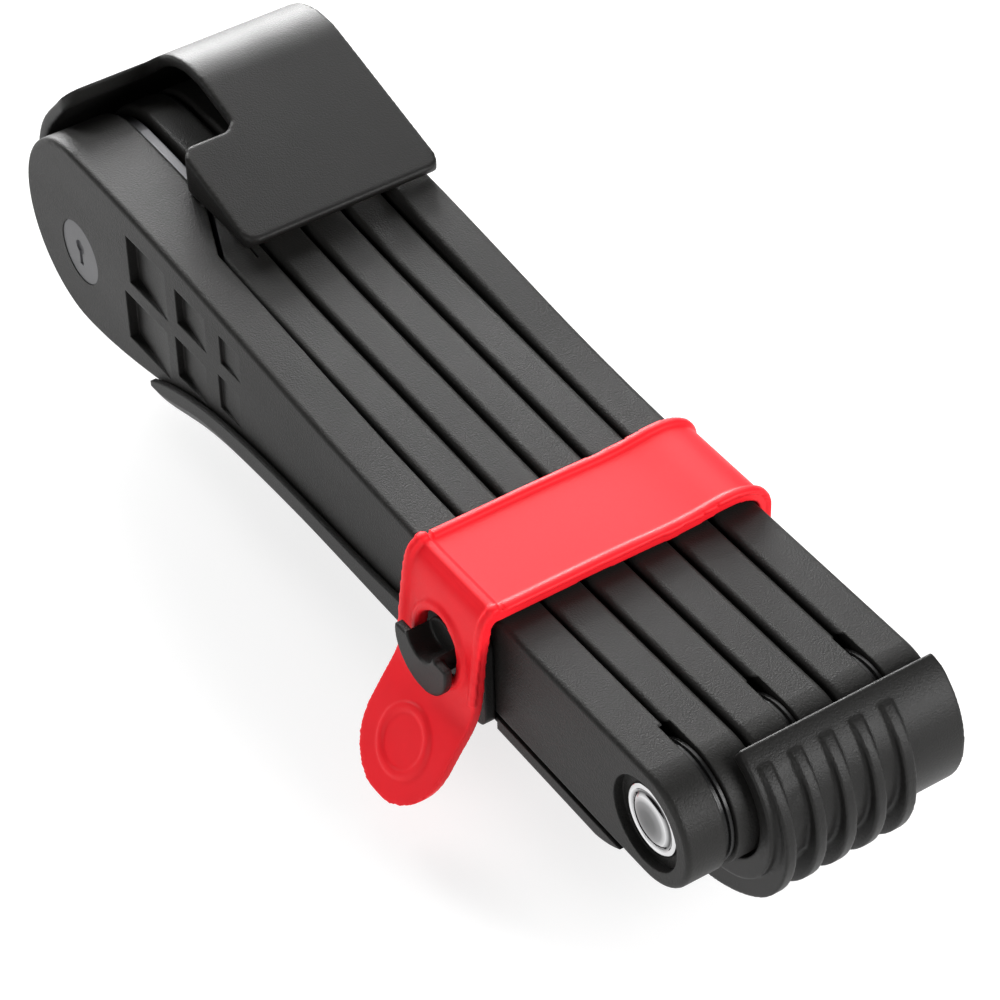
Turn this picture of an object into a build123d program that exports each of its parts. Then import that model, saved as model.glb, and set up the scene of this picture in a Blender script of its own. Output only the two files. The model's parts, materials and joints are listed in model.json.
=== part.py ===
"""Folding bike lock: six riveted links, stowed in a frame carrier with a rubber strap.

X runs along the links, Y across the stack, +Z up. The origin is the middle of the carrier's
two frame bolts, on the underside of its pads. All sizes are in millimetres.
"""
import os

from build123d import *

# ---- driving dimensions ----
LINK_SPACING = 183.0        # rivet to rivet along one link
LINK_COUNT = 6
PITCH = 8.66                # link to link across the stack
LINK_GAP = 0.9              # air between neighbouring sheaths
BIG_R = 20.0                # round head of a link
SMALL_R = 11.6              # round small end of a link
AXIS_Z = 35.0               # rivet axes above the frame bolts' plane
BIG_X = -92.0               # big-end axis
SMALL_X = BIG_X + LINK_SPACING
LEFT_Y = -LINK_COUNT * PITCH / 2
RIGHT_Y = -LEFT_Y
WAIST_LEFT = 43.0           # the top edge dips from here, measured from the big end
WAIST_MID = 87.0
WAIST_TOP = 13.7            # heights of the edges above and below the axis
WAIST_BOTTOM = 13.1
STRAIGHT_FROM = 140.0       # where the top edge becomes straight
BELLY = 10.8
SHOULDERS = {1: 17.8, 2: 16.6, 3: 16.6, 4: 16.6, 5: 16.6, 6: 18.4}
EDGE_R = 1.0                # rounding of the sheaths' long edges
SHEATH_WALL = 1.6
CORE_T = 4.6                # steel plate
CORE_SHIFT = {1: 0.6, 2: 0.8, 3: 0.0, 4: 0.0, 5: 0.0, 6: -0.4}
FIT = 0.05                  # running clearance on a radius
REST_GAP = 0.35             # air between the lock and its carrier

HEAD_DEPTH = 14.5           # depth of the lock head across the stack
HEAD_STEP_FROM = 24.0       # the head slopes down to the shank from here, from the big end
HEAD_STEP_TO = 40.0
HEAD_CLEAR = 3.0            # the same slope on link 2 starts this much later
END_PLATE_T = 1.85          # bare steel end of link 2, beside the lock head
END_CUT = 25.0              # length of that bare end, from the big-end axis

RIVET_R = 4.0
COUNTERSINK_R = 6.0
COUNTERSINK_H = 1.2
RECESS_R = 8.6              # round recess for the rivets' end caps
RECESS_DEPTH = 1.9
CAP_R = 6.6
WASHER_R = 10.9
WASHER_GAP = 0.3
WASHER_GROOVE = 0.5         # a shallow groove round its rim
CAP_RIM, CAP_SHOULDER, CAP_H = 0.5, 1.25, 1.6   # heights of the cap's rim, shoulder and crown
FACE_RELIEF_R = 13.5        # relieved link faces round the visible washers
FACE_RELIEF = 0.7

LOCK_Y = LEFT_Y + 7.65      # the cylinder lies along X in the lock head
CYL_R = 4.9
CYL_Z = AXIS_Z - 7.0
CYL_X0 = BIG_X - 13.0
CYL_X1 = CYL_X0 + 20.0
PLUG_R = 3.4
PORT_R = 3.9
CAM_R = 4.6
CAM_T = 2.6
CAM_ROOM = 3.4
SLOT_W = 5.6                # tongue slot
SLOT_H = 11.0
SLOT_Z = AXIS_Z + 8.5
SLOT_DEPTH = 17.0
BOLT_W = 4.6
BOLT_T = 2.8
BOLT_Z0 = AXIS_Z - 0.6      # underside of the drawn bolt
BOLT_X0 = BIG_X - 12.0
BOLT_STROKE = 4.0
SPRING_X = BIG_X + 5.0
SPRING_R = 1.9
SPRING_H = 9.0
TONGUE_H = 10.0
TONGUE_TIP = 16.0           # how far the tongue reaches beyond the big-end axis
BADGE_R = 6.6
BADGE_DROP = 3.2            # badge centre below the big-end axis
COVER_R = 18.9              # inner radius of the sliding keyway cover
COVER_FROM, COVER_TO = 184, 220   # its ends, in degrees round the big-end axis
COVER_TRACK = (180, 262)
COVER_EDGE = 1.0            # how far it overlaps the key port
SLIDE_GAP = 0.3             # air round the bolt and its spring
BOLT_HEAD_LEN = 6.0
SPRING_WALL = 0.6
HOUSING_INSET = 0.8         # extra plastic over the housing on the outside
HEAD_LAP = 2.0              # the housing ends this far before the head's slope
PLUG_SINK = 0.4             # the plug's face lies inside the cylinder's
PLUG_PROUD = 0.2
KEYWAY_LEN, KEYWAY_W, KEYWAY_H = 14.1, 1.2, 4.8
CAM_FLAT = 1.6              # the cam's flat, from its axis
BADGE_SINK = 0.15
BADGE_SEAT_T = 1.0
KEYHOLE_R, KEYHOLE_UP, KEYHOLE_SLOT, KEYHOLE_DEPTH = 1.5, 1.2, 1.2, 0.6
KEYHOLE_DOWN = 3.0

TRAY_FLOOR = 2.6
UNDERCUT = 1.87             # fall of the tray's bevelled underside, per unit of Y
FLOOR_TOP = REST_GAP + 0.15  # below the links
FLOOR_BOTTOM = FLOOR_TOP + TRAY_FLOOR
TRAY_Y0 = LEFT_Y - REST_GAP - 1.15
TRAY_Y1 = RIGHT_Y + 2.2
CRADLE_X0 = BIG_X + 2.05    # the tray's floor runs back under the big ends to the hood
TRAY_X0 = BIG_X + 27.0
TRAY_X1 = BIG_X + 178.0
LIP_T = 1.15
STUD_X = BIG_X + 131.35
STUD_Z = AXIS_Z + 1.0
STUD_R = 7.6
STUD_POST_R = 4.6
STUD_REACH = 8.9            # from the lock's left face to the stud's face
STUD_FLANGE = 1.6
SADDLE_NOTCH_R = 4.0        # the round dip in the half-moon's straight edge
EAR_T = 1.9
EAR_HALF = 9.3
STRAP_W = 22.5
STRAP_T = 1.9
STRAP_HALF = STRAP_W / 2
TAB_TIP_Z = AXIS_Z - 26.3
TAB_END = 9.4               # height of its round end, which leans out
HOLE_W = 12.0               # the hole for the stud
HOLE_H = 12.0
HOLE_Z = AXIS_Z + 1.3
RIM_W = 1.6
RIM_H = 0.7

HOOD_WALL = 2.4
HOOD_BACK_R = 24.5
HOOD_CORNER_R = 3.0
FLANGE_T = 1.7              # the turned-down edge beside the notch
HOOD_CREST_R = 20.0
HOOD_CREST = (BIG_X + 4.7, AXIS_Z + 11.7)
HOOD_LIP = (BIG_X + 44.2, AXIS_Z + 21.7)
HOOD_SLOPE = 0.27
HOOD_Y0 = LEFT_Y + 12.2
HOOD_Y1 = RIGHT_Y + 1.7
HOOD_BACK_Y = LEFT_Y + 5.0
NOTCH_Y = LEFT_Y + 24.3
NOTCH_X = BIG_X + 20.5
NOTCH_BACK = BIG_X - 9.0

CUP_Y0 = LEFT_Y + 13.3
CUP_Y1 = RIGHT_Y + 0.4
CUP_IN_R = SMALL_R + 0.6
CUP_OUT_R = 15.6
CUP_DROP = 0.8              # the cup's outside is set lower than the rivets' axis
RIB_COUNT = 5
RIB_W = 2.2
RIB_PITCH = 6.0
RIB_FIRST = LEFT_Y + 16.1

BOLT_SPACING = 64.0         # frame bosses
BOLT_R = 2.75
BOLT_HEAD_R = 5.0
PAD_T = 2.0
SCREW_SPACING = 34.0        # saddle screws
SCREW_TOP = AXIS_Z - 12.3
SCREW_HEAD_R = 3.0
SCREW_HEAD_H = 1.2
SCREW_R = 1.6
SCREW_LEN = 12.0
SADDLE_W = 24.0
SADDLE_LEN = 92.0
SADDLE_WALL = 3.0
PAD_LEN = 26.0
BOLT_SEAT = 9.0             # where the frame bolts' heads rest
FAR = 400.0                 # beyond the object, for cutting half spaces
TRAY_WALL = (-16.0, -3.0)   # the hidden right wall, from the rivets' axis
TRAY_SIDE_Z = 9.0           # the tray's shell stops this far below the axis
CRADLE_Y0 = LEFT_Y + 13.0
ANCHOR_Z = AXIS_Z - 20.0
ANCHOR_FOOT = 9.0           # the anchor's foot under the tray
ANCHOR_T = 1.9
ANCHOR_H = 7.0
STRAP_SIDE_GAP = 0.4
EAR_H, EAR_DROP, EAR_CORNER = 20.0, 3.0, 2.5
STUD_CHORD = 6.1            # the half-moon's straight edge, below the circle's top
SADDLE_NOTCH_UP = 3.0
SADDLE_SIDE_Z = 9.0         # the saddle's top, below the axis
FLANGE_Z = (19.8, 19.3)     # the hood's turned-down side and front, above the axis
FLANGE_FRONT = 5.0
HOOD_OPEN_Z = 25.6
HOOD_OPEN_X = (2.0, 20.0, 70.0)
HOOD_TIP_R = 0.6
CUP_FACE_H, CUP_FACE_DROP, CUP_CORNER_R = 46.0, 8.0, 3.4
CUP_SECTOR = ((0, 0), (16, 36), (60, 0), (20, -60), (-30, -42))      # from the small-end axis
RIB_BACK = ((9.5, 11.7), (15.6, 5), (17.2, -5), (13.6, -14.2), (5.5, -20.8), (-3, -24), (-12, -24.5))
RIB_ROOT = (-12, -10)
LIP_TOP = ((27, -15.5), (42, -9.8), (60, -6.8), (80, -6.0), (113, -5.2))   # from the big-end axis
LIP_UNDER = ((26.95, -16.6), (29.5, -16.4), (42, -12.8), (60, -10.4), (80, -9.7), (140.65, -9.3))
TOE = ((-16, -14.6), (-7.4, -14.3), (-4, -13.2), (0.2, -10.6))       # from the tray's end
OVER_TOP = (                # the strap's outside in Y and Z, over the links
    (RIGHT_Y + 2.3, ANCHOR_Z + 0.5), (RIGHT_Y + 2.3, AXIS_Z - 6), (RIGHT_Y + 2.2, AXIS_Z + 6),
    (RIGHT_Y + 1.5, AXIS_Z + 12.4), (RIGHT_Y - 1.5, AXIS_Z + 14.4), (RIGHT_Y - 12, AXIS_Z + 14.5),
    (0, AXIS_Z + 14.5), (LEFT_Y + 6, AXIS_Z + 14.5), (LEFT_Y - 0.6, AXIS_Z + 14.5),
)
DOWN_SIDE = (               # and down beside the outer link to the tab's tip
    (LEFT_Y - 1.0, AXIS_Z + 14.5), (LEFT_Y - 1.6, AXIS_Z + 14.4), (LEFT_Y - 2.7, AXIS_Z + 13.5),
    (LEFT_Y - 3.6, AXIS_Z + 11.4), (LEFT_Y - 4.2, AXIS_Z + 8.0), (LEFT_Y - 5.0, AXIS_Z + 1.8),
    (LEFT_Y - 5.7, AXIS_Z - 4.0), (LEFT_Y - 6.8, AXIS_Z - 7.6), (LEFT_Y - 9.3, AXIS_Z - 11.5),
    (LEFT_Y - 14.3, AXIS_Z - 19.2), (LEFT_Y - 19.1, TAB_TIP_Z - 0.2),
)
POCKETS = (                 # x from, x to, z from, z to (from the big-end axis), depth
    (20.0, 34.0, 2.6, 13.6, 2.0),
    (17.5, 33.0, -12.0, -0.8, 2.0),
    (37.5, 48.0, 4.6, 12.6, 1.5),
    (36.0, 47.0, -8.8, 0.6, 1.5),
    (53.0, 60.0, 5.8, 12.2, 0.7),
    (51.5, 59.0, -5.6, 2.2, 0.7),
)


def side(y):
    """A sketch plane facing -Y at the given y; local x is X and local y is Z."""
    return Plane(origin=(0, y, 0), x_dir=(1, 0, 0), z_dir=(0, -1, 0))


def points_from(x, z, offsets):
    """Points in X and Z, from their offsets to a centre."""
    return [(x + dx, z + dz) for dx, dz in offsets]


def along_y(x, z):
    """A sketch plane through a pivot; local x is the radius and local y is Y."""
    return Plane(origin=(x, 0, z), x_dir=(1, 0, 0), z_dir=(0, 0, 1))


def pivot(k):
    """Centre of the rivet between link k and link k + 1: odd ones are at the small end."""
    return (SMALL_X, AXIS_Z) if k % 2 else (BIG_X, AXIS_Z)


def link_span(k):
    """Y of link k's two faces."""
    y0 = LEFT_Y if k == 1 else LEFT_Y + (k - 1) * PITCH + LINK_GAP / 2
    y1 = RIGHT_Y if k == LINK_COUNT else LEFT_Y + k * PITCH - LINK_GAP / 2
    return y0, y1


def core_span(k):
    """Y of link k's steel plate."""
    y0, y1 = link_span(k)
    mid = (y0 + y1) / 2 + CORE_SHIFT[k]
    return mid - CORE_T / 2, mid + CORE_T / 2


def link_outline(shoulder, inset=0.0):
    """A link's outline; shoulder is its top edge's height above the axis at WAIST_LEFT."""
    big, small = BIG_R - inset, SMALL_R - inset
    with BuildSketch() as outline:
        with BuildLine():
            top = Spline(
                (BIG_X, AXIS_Z + big),
                (BIG_X + WAIST_LEFT, AXIS_Z + shoulder - inset),
                (BIG_X + WAIST_MID, AXIS_Z + WAIST_TOP - inset),
                (BIG_X + STRAIGHT_FROM, AXIS_Z + small),
                tangents=((1, 0), (1, 0)),
            )
            upper = Line(top @ 1, (SMALL_X, AXIS_Z + small))
            nose = ThreePointArc(upper @ 1, (SMALL_X + small, AXIS_Z), (SMALL_X, AXIS_Z - small))
            bottom = Spline(
                nose @ 1,
                (BIG_X + STRAIGHT_FROM, AXIS_Z - BELLY + inset),
                (BIG_X + WAIST_MID, AXIS_Z - BELLY + inset),
                (BIG_X + WAIST_LEFT, AXIS_Z - WAIST_BOTTOM + inset),
                (BIG_X, AXIS_Z - big),
                tangents=((-1, 0), (-1, 0)),
            )
            ThreePointArc(bottom @ 1, (BIG_X - big, AXIS_Z), top @ 0)
        make_face()
    return outline.sketch


def bar(outline, y0, y1):
    """A flat sketch in X and Z, as a solid between two Y."""
    with BuildPart() as solid:
        with BuildSketch(side(y1)):
            add(outline)
        extrude(amount=y1 - y0)
    return solid.part


def block(x0, x1, y0, y1, z0, z1):
    """A plain box between two corners, used to cut or keep a region."""
    with BuildPart() as solid:
        with Locations(((x0 + x1) / 2, (y0 + y1) / 2, (z0 + z1) / 2)):
            Box(x1 - x0, y1 - y0, z1 - z0)
    return solid.part


def disc(x, z, radius, y0, y1):
    """A round slug across the stack, used to cut or keep a region."""
    with BuildPart() as solid:
        with BuildSketch(side(y1)):
            with Locations((x, z)):
                Circle(radius)
        extrude(amount=y1 - y0)
    return solid.part


def rod(x0, x1, y, z, radius):
    """A round slug along X, used to cut or keep a region."""
    with BuildPart() as solid:
        with BuildSketch(Plane(origin=(x0, y, z), x_dir=(0, 1, 0), z_dir=(1, 0, 0))):
            Circle(radius)
        extrude(amount=x1 - x0)
    return solid.part


def rivet_span(j):
    """Y of the rivet that joins links j and j + 1."""
    low = link_span(j)[0] + (RECESS_DEPTH if j == 1 else 0.0)
    if j == 2:
        low = link_span(j)[1] - END_PLATE_T
    high = link_span(j + 1)[1] - (RECESS_DEPTH if j == LINK_COUNT - 1 else 0.0)
    return low, high


def rivet_solid(j, grow):
    """Rivet j, flush and flat at both ends, or its hole when it is grown by a clearance."""
    x, z = pivot(j)
    y0, y1 = rivet_span(j)
    head = COUNTERSINK_R + grow
    shank = RIVET_R + grow
    with BuildPart() as solid:
        with BuildSketch(along_y(x, z)):
            with BuildLine():
                Polyline(
                    (0, y0), (head, y0), (shank, y0 + COUNTERSINK_H),
                    (shank, y1 - COUNTERSINK_H), (head, y1), (0, y1), close=True,
                )
            make_face()
        revolve(axis=Axis((x, 0, z), (0, 1, 0)))
    return solid.part


def wedge(x0, x1, z0, z1, depth):
    """A pocket whose floor ramps from depth at x0 up to link 1's face at x1."""
    with BuildPart() as solid:
        with BuildSketch(Plane.XY.offset(z0)):
            with BuildLine():
                Polyline(
                    (x0, LEFT_Y - 1), (x1, LEFT_Y - 1), (x1, LEFT_Y), (x0, LEFT_Y + depth),
                    close=True,
                )
            make_face()
        extrude(amount=z1 - z0)
    return solid.part


def beyond(x, y0=-FAR, y1=FAR):
    """Everything on the small-end side of x, between two Y."""
    return block(x, FAR, y0, y1, -FAR, FAR)


def before(x, y0=-FAR, y1=FAR):
    """Everything on the big-end side of x, between two Y."""
    return block(-FAR, x, y0, y1, -FAR, FAR)


def slope_cut(shift):
    """The space beside the head's slope, from its inner face to link 1's inner face."""
    inner = LEFT_Y + HEAD_DEPTH
    face = link_span(1)[1]
    x0 = BIG_X + HEAD_STEP_FROM + shift
    x1 = BIG_X + HEAD_STEP_TO + shift
    with BuildPart() as solid:
        with BuildSketch(Plane.XY):
            with BuildLine():
                Polyline((x0, inner), (x1, face), (x1 + FAR, face), (x1 + FAR, inner), close=True)
            make_face()
        extrude(amount=2 * AXIS_Z)
    return solid.part


def arc_band(r0, r1, from_deg, to_deg, y0, y1):
    """A curved strip round the big-end axis, between two angles."""
    with BuildPart() as solid:
        with BuildSketch(side(y1)):
            with Locations((BIG_X, AXIS_Z)):
                Circle(r1)
                Circle(r0, mode=Mode.SUBTRACT)
            with BuildLine():
                start = PolarLine((BIG_X, AXIS_Z), 2 * r1, from_deg)
                end = PolarLine((BIG_X, AXIS_Z), 2 * r1, to_deg)
                middle = PolarLine((BIG_X, AXIS_Z), 3 * r1, (from_deg + to_deg) / 2, mode=Mode.PRIVATE)
                Polyline(start @ 1, middle @ 1, end @ 1)
            make_face(mode=Mode.INTERSECT)
        extrude(amount=y1 - y0)
    return solid.part


def hood_outline(inset):
    """The hood from the left: its outside, or its inside when inset by the wall."""
    reach = inset * 2
    with BuildSketch() as outline:
        with Locations((BIG_X, AXIS_Z)):
            Circle(HOOD_BACK_R - inset)
        with Locations(HOOD_CREST):
            Circle(HOOD_CREST_R - inset)
        with Locations(
            (HOOD_LIP[0] + reach - HOOD_TIP_R,
             HOOD_LIP[1] - inset - reach * HOOD_SLOPE - HOOD_TIP_R)
        ):
            Circle(HOOD_TIP_R)
        make_hull()
    return outline.sketch


def ribbon(points, x0, x1):
    """A strip STRAP_T thick between two X, whose outside runs through points (y, z)."""
    inner = []
    for n, (y, z) in enumerate(points):
        y0, z0 = points[max(n - 1, 0)]
        y1, z1 = points[min(n + 1, len(points) - 1)]
        length = ((y1 - y0) ** 2 + (z1 - z0) ** 2) ** 0.5
        inner.append((y - (z1 - z0) / length * STRAP_T, z + (y1 - y0) / length * STRAP_T))
    with BuildPart() as solid:
        with BuildSketch(Plane.YZ.offset(x0)):
            with BuildLine():
                outside = Spline(*points)
                inside = Spline(*inner)
                Line(outside @ 0, inside @ 0)
                Line(outside @ 1, inside @ 1)
            make_face()
        extrude(amount=x1 - x0)
    return solid.part


def lowered(drop, y0, y1):
    """Link 1's outline, lowered by drop, as a solid between two Y."""
    with BuildPart() as solid:
        with BuildSketch(side(y1)):
            with Locations((0, -drop)):
                add(OUTLINES[1])
        extrude(amount=y1 - y0)
    return solid.part


def write(part, name):
    """Label a finished piece and write it."""
    part.label = name
    export_step(part, f"parts/{name}.step")


os.makedirs("parts", exist_ok=True)

HOLES = {j: rivet_solid(j, FIT) for j in range(1, LINK_COUNT)}
OUTLINES = {k: link_outline(SHOULDERS[k]) for k in SHOULDERS}
PLATES = {k: link_outline(SHOULDERS[k], SHEATH_WALL) for k in SHOULDERS}


# ---- spaces inside the lock head, shared by its sheath and its housing ----
face0, face1 = link_span(1)
head1 = LEFT_Y + HEAD_DEPTH
SLOT = block(
    BIG_X - BIG_R - 2, BIG_X - BIG_R + SLOT_DEPTH,
    LOCK_Y - SLOT_W / 2, LOCK_Y + SLOT_W / 2, SLOT_Z - SLOT_H / 2, SLOT_Z + SLOT_H / 2,
)
PORT = rod(BIG_X - BIG_R - 2, CYL_X0 + 1, LOCK_Y, CYL_Z, PORT_R)
COVER_ROOM = arc_band(
    COVER_R - 2 * FIT, BIG_R + 1, *COVER_TRACK,
    LOCK_Y - PORT_R - COVER_EDGE - SLIDE_GAP, LOCK_Y + PORT_R + COVER_EDGE + SLIDE_GAP,
)
HOUSING = bar(PLATES[1], face0 + SHEATH_WALL + HOUSING_INSET, head1 - SHEATH_WALL) - beyond(
    BIG_X + HEAD_STEP_FROM - HEAD_LAP
)
BADGE_SEAT = disc(BIG_X, AXIS_Z - BADGE_DROP, BADGE_R + FIT, face0 - 1, face0 + BADGE_SEAT_T)

# ---- link 1: steel core, lock housing and sheath ----
plate0, plate1 = core_span(1)
with BuildPart() as link_1_core:
    add(bar(PLATES[1], plate0, plate1))
    add(before(BIG_X + HEAD_STEP_FROM - HEAD_LAP), mode=Mode.SUBTRACT)
    add(HOLES[1], mode=Mode.SUBTRACT)
write(link_1_core.part, "link_1_core")

with BuildPart() as lock_housing:
    add(HOUSING)
    add(SLOT, mode=Mode.SUBTRACT)
    add(PORT, mode=Mode.SUBTRACT)
    add(rod(CYL_X0, CYL_X1, LOCK_Y, CYL_Z, CYL_R), mode=Mode.SUBTRACT)
    add(rod(CYL_X1 - 1, CYL_X1 + CAM_ROOM, LOCK_Y, CYL_Z, CAM_R + 0.4), mode=Mode.SUBTRACT)
    add(
        block(
            BOLT_X0 - SLIDE_GAP, CYL_X1 + CAM_ROOM, LOCK_Y - BOLT_W / 2 - SLIDE_GAP,
            LOCK_Y + BOLT_W / 2 + SLIDE_GAP, CYL_Z + PLUG_R, BOLT_Z0 + BOLT_T + BOLT_STROKE + 0.5,
        ),
        mode=Mode.SUBTRACT,
    )
    with Locations((SPRING_X, LOCK_Y, BOLT_Z0 + BOLT_T + SPRING_H / 2)):
        Cylinder(SPRING_R + SLIDE_GAP, SPRING_H, mode=Mode.SUBTRACT)
write(lock_housing.part, "lock_housing")

with BuildPart() as link_1_sheath:
    add(bar(OUTLINES[1], face0, head1))
    fillet(link_1_sheath.faces().filter_by(Axis.Y).edges(), radius=EDGE_R)
    add(slope_cut(0), mode=Mode.SUBTRACT)
    add(link_1_core.part, mode=Mode.SUBTRACT)
    add(HOUSING, mode=Mode.SUBTRACT)
    add(HOLES[1], mode=Mode.SUBTRACT)
    add(disc(SMALL_X, AXIS_Z, RECESS_R, face0 - 1, face0 + RECESS_DEPTH), mode=Mode.SUBTRACT)
    add(disc(SMALL_X, AXIS_Z, FACE_RELIEF_R, face1 - FACE_RELIEF, face1 + 1), mode=Mode.SUBTRACT)
    add(BADGE_SEAT, mode=Mode.SUBTRACT)
    add(SLOT, mode=Mode.SUBTRACT)
    add(PORT, mode=Mode.SUBTRACT)
    add(COVER_ROOM, mode=Mode.SUBTRACT)
    for x0, x1, z0, z1, depth in POCKETS:
        add(
            wedge(BIG_X + x0, BIG_X + x1, AXIS_Z + z0, AXIS_Z + z1, depth), mode=Mode.SUBTRACT,
        )
write(link_1_sheath.part, "link_1_sheath")

# ---- the lock in the head ----
with BuildPart() as lock_cylinder:
    add(rod(CYL_X0, CYL_X1, LOCK_Y, CYL_Z, CYL_R))
    add(rod(CYL_X0, CYL_X1, LOCK_Y, CYL_Z, PLUG_R + FIT), mode=Mode.SUBTRACT)
write(lock_cylinder.part, "lock_cylinder")

with BuildPart() as cylinder_plug:
    add(rod(CYL_X0 + PLUG_SINK, CYL_X1 + PLUG_PROUD, LOCK_Y, CYL_Z, PLUG_R))
    with Locations((CYL_X0 + PLUG_SINK + KEYWAY_LEN / 2, LOCK_Y, CYL_Z)):
        Box(KEYWAY_LEN, KEYWAY_W, KEYWAY_H, mode=Mode.SUBTRACT)
write(cylinder_plug.part, "cylinder_plug")

with BuildPart() as plug_cam:
    add(rod(CYL_X1 + PLUG_PROUD, CYL_X1 + PLUG_PROUD + CAM_T, LOCK_Y, CYL_Z, CAM_R))
    add(block(-FAR, FAR, LOCK_Y + CAM_FLAT, FAR, -FAR, FAR), mode=Mode.SUBTRACT)
write(plug_cam.part, "plug_cam")

with BuildPart() as locking_bolt:
    add(
        block(
            BOLT_X0, CYL_X1 + CAM_T, LOCK_Y - BOLT_W / 2, LOCK_Y + BOLT_W / 2,
            BOLT_Z0, BOLT_Z0 + BOLT_T,
        )
    )
    add(
        block(
            BOLT_X0, BOLT_X0 + BOLT_HEAD_LEN, LOCK_Y - BOLT_W / 2, LOCK_Y + BOLT_W / 2,
            BOLT_Z0, SLOT_Z - SLOT_H / 2 - SLIDE_GAP,
        )
    )
write(locking_bolt.part, "locking_bolt")

with BuildPart() as bolt_spring:
    with BuildSketch(Plane.XY.offset(BOLT_Z0 + BOLT_T + FIT)):
        with Locations((SPRING_X, LOCK_Y)):
            Circle(SPRING_R)
            Circle(SPRING_R - SPRING_WALL, mode=Mode.SUBTRACT)
    extrude(amount=SPRING_H - 2 * FIT)
write(bolt_spring.part, "bolt_spring")

with BuildPart() as keyway_cover:
    add(
        arc_band(
            COVER_R, BIG_R - FIT, COVER_FROM, COVER_TO,
            LOCK_Y - PORT_R - COVER_EDGE, LOCK_Y + PORT_R + COVER_EDGE,
        )
    )
write(keyway_cover.part, "keyway_cover")

with BuildPart() as keyhole_badge:
    badge_z = AXIS_Z - BADGE_DROP
    add(disc(BIG_X, badge_z, BADGE_R, face0 + BADGE_SINK, face0 + BADGE_SEAT_T))
    add(
        disc(BIG_X, badge_z + KEYHOLE_UP, KEYHOLE_R, face0, face0 + KEYHOLE_DEPTH),
        mode=Mode.SUBTRACT,
    )
    add(
        block(
            BIG_X - KEYHOLE_SLOT / 2, BIG_X + KEYHOLE_SLOT / 2, face0, face0 + KEYHOLE_DEPTH,
            badge_z - KEYHOLE_DOWN, badge_z + KEYHOLE_UP,
        ),
        mode=Mode.SUBTRACT,
    )
write(keyhole_badge.part, "keyhole_badge")

# ---- links 2 to 6 ----
HEAD_SPACE = (                # what the lock head needs beside link 2
    block(-FAR, FAR, LEFT_Y, LEFT_Y + HEAD_DEPTH + REST_GAP, 0, 2 * AXIS_Z)
    - slope_cut(HEAD_CLEAR) - beyond(BIG_X + HEAD_STEP_TO + HEAD_CLEAR)
)
for k in range(2, LINK_COUNT + 1):
    face0, face1 = link_span(k)
    plate0, plate1 = core_span(k)
    relief = (face1 - FACE_RELIEF, face1 + 1) if k % 2 else (face0 - 1, face0 + FACE_RELIEF)
    end_x = {2: BIG_X + END_CUT, LINK_COUNT: BIG_X + TONGUE_TIP}.get(k, -FAR / 2)

    with BuildPart() as core:
        add(bar(PLATES[k], plate0, plate1))
        if k == 2:
            add(before(end_x), mode=Mode.SUBTRACT)
            add(bar(PLATES[k], face1 - END_PLATE_T, face1) - beyond(end_x + 12))
            add(beyond(end_x, face1 - SHEATH_WALL / 2), mode=Mode.SUBTRACT)
            add(HEAD_SPACE, mode=Mode.SUBTRACT)
        if k == LINK_COUNT:
            add(before(end_x - 4), mode=Mode.SUBTRACT)
            add(
                block(
                    BIG_X - TONGUE_TIP, end_x, plate0, plate1,
                    AXIS_Z - TONGUE_H / 2, AXIS_Z + TONGUE_H / 2,
                )
            )
            add(
                block(
                    BIG_X - TONGUE_TIP + 3, BIG_X - TONGUE_TIP + 10, plate0 - 1, plate1 + 1,
                    AXIS_Z - TONGUE_H, AXIS_Z - TONGUE_H / 2 + BOLT_STROKE,
                ),
                mode=Mode.SUBTRACT,
            )
        for j in (k - 1, k):
            if j in HOLES:
                add(HOLES[j], mode=Mode.SUBTRACT)
    write(core.part, f"link_{k}_core")

    with BuildPart() as sheath:
        add(bar(OUTLINES[k], face0, face1))
        fillet(sheath.faces().filter_by(Axis.Y).edges(), radius=EDGE_R)
        add(before(end_x), mode=Mode.SUBTRACT)
        add(core.part, mode=Mode.SUBTRACT)
        add(disc(SMALL_X, AXIS_Z, FACE_RELIEF_R, *relief), mode=Mode.SUBTRACT)
        if k == 2:
            add(HEAD_SPACE, mode=Mode.SUBTRACT)
        if k == LINK_COUNT:
            add(disc(SMALL_X, AXIS_Z, RECESS_R, face1 - RECESS_DEPTH, face1 + 1), mode=Mode.SUBTRACT)
        for j in (k - 1, k):
            if j in HOLES:
                add(HOLES[j], mode=Mode.SUBTRACT)
    write(sheath.part, f"link_{k}_sheath")

# ---- rivets, washers and end caps ----
for j in range(1, LINK_COUNT):
    x, z = pivot(j)
    low, high = link_span(j)[1], link_span(j + 1)[0]
    if j % 2:
        low, high = low - FACE_RELIEF, high + FACE_RELIEF
    with BuildPart() as rivet:
        add(rivet_solid(j, 0))
    write(rivet.part, f"rivet_{j}_{j + 1}")

    ring_t = high - low - WASHER_GAP
    with BuildPart() as washer:
        with BuildSketch(along_y(x, z)):
            with BuildLine():
                neck = WASHER_R - WASHER_GROOVE
                Polyline(
                    (RIVET_R + FIT, low), (WASHER_R, low), (WASHER_R, low + ring_t * 0.3),
                    (neck, low + ring_t * 0.4), (neck, low + ring_t * 0.6),
                    (WASHER_R, low + ring_t * 0.7), (WASHER_R, low + ring_t),
                    (RIVET_R + FIT, low + ring_t), close=True,
                )
            make_face()
        revolve(axis=Axis((x, 0, z), (0, 1, 0)))
    write(washer.part, f"washer_{j}_{j + 1}")

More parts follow.
